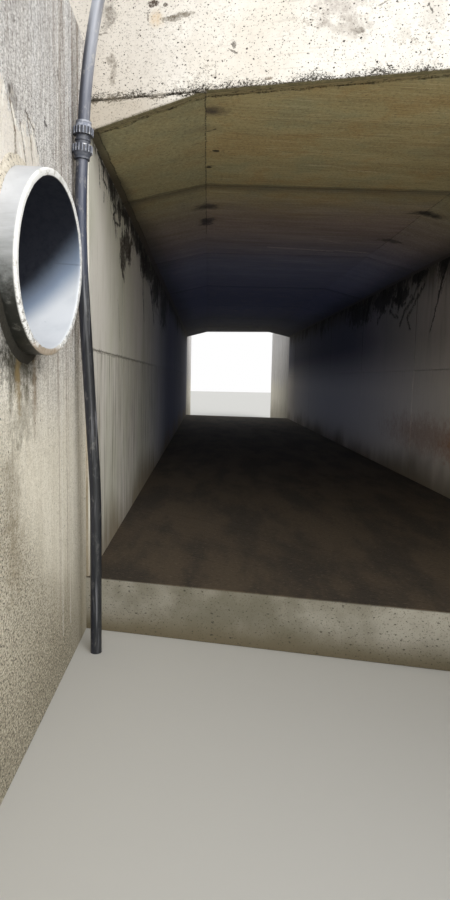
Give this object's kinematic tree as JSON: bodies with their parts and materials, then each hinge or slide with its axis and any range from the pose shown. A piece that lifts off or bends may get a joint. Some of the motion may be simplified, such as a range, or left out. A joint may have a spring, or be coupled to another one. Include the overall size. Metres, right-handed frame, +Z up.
{
  "type": "concrete box culvert headwall",
  "caption": "Skewed concrete box culvert with haunched barrel, headwalls and wing walls, an outlet pipe through one wing wall and a riser pipe in its corner.",
  "frame": {"origin": "middle of the barrel's width, on the flat underside of the base, level with the point where the near portal meets the left wall's inner face", "axes": "+X across the barrel to the right seen from the near end, +Y along the barrel from the near portal to the far one, +Z up"},
  "size_m": [3.823, 24.763, 3.606],
  "materials": {
    "base_concrete": "rough",
    "wall_concrete": "rough",
    "roof_concrete": "rough",
    "headwall_concrete": "rough",
    "wing_concrete": "rough",
    "mortar": "rough",
    "pale_pipe": "satin",
    "black_pipe": "satin",
    "black_coupling": "satin"
  },
  "bodies": {
    "root": {"base_slab_1": "base_concrete", "base_slab_2": "base_concrete", "base_slab_3": "base_concrete", "base_slab_4": "base_concrete", "base_slab_5": "base_concrete", "base_slab_6": "base_concrete", "base_slab_7": "base_concrete", "left_wall_1": "wall_concrete", "left_wall_2": "wall_concrete", "left_wall_3": "wall_concrete", "left_wall_4": "wall_concrete", "left_wall_5": "wall_concrete", "left_wall_6": "wall_concrete", "left_wall_7": "wall_concrete", "right_wall_1": "wall_concrete", "right_wall_2": "wall_concrete", "right_wall_3": "wall_concrete", "right_wall_4": "wall_concrete", "right_wall_5": "wall_concrete", "right_wall_6": "wall_concrete", "right_wall_7": "wall_concrete", "roof_slab_1": "roof_concrete", "roof_slab_2": "roof_concrete", "roof_slab_3": "roof_concrete", "roof_slab_4": "roof_concrete", "roof_slab_5": "roof_concrete", "roof_slab_6": "roof_concrete", "roof_slab_7": "roof_concrete", "near_headwall": "headwall_concrete", "far_headwall": "headwall_concrete", "near_left_wing_wall": "wing_concrete", "near_right_wing_wall": "wing_concrete", "far_left_wing_wall": "wing_concrete", "far_right_wing_wall": "wing_concrete", "outlet_pipe": "pale_pipe", "outlet_mortar_ring": "mortar", "riser_lower_pipe": "black_pipe", "riser_upper_pipe": "black_pipe", "riser_coupling_body": "black_coupling", "riser_coupling_lower_nut": "black_coupling", "riser_coupling_upper_nut": "black_coupling"}
  },
  "joints": []
}
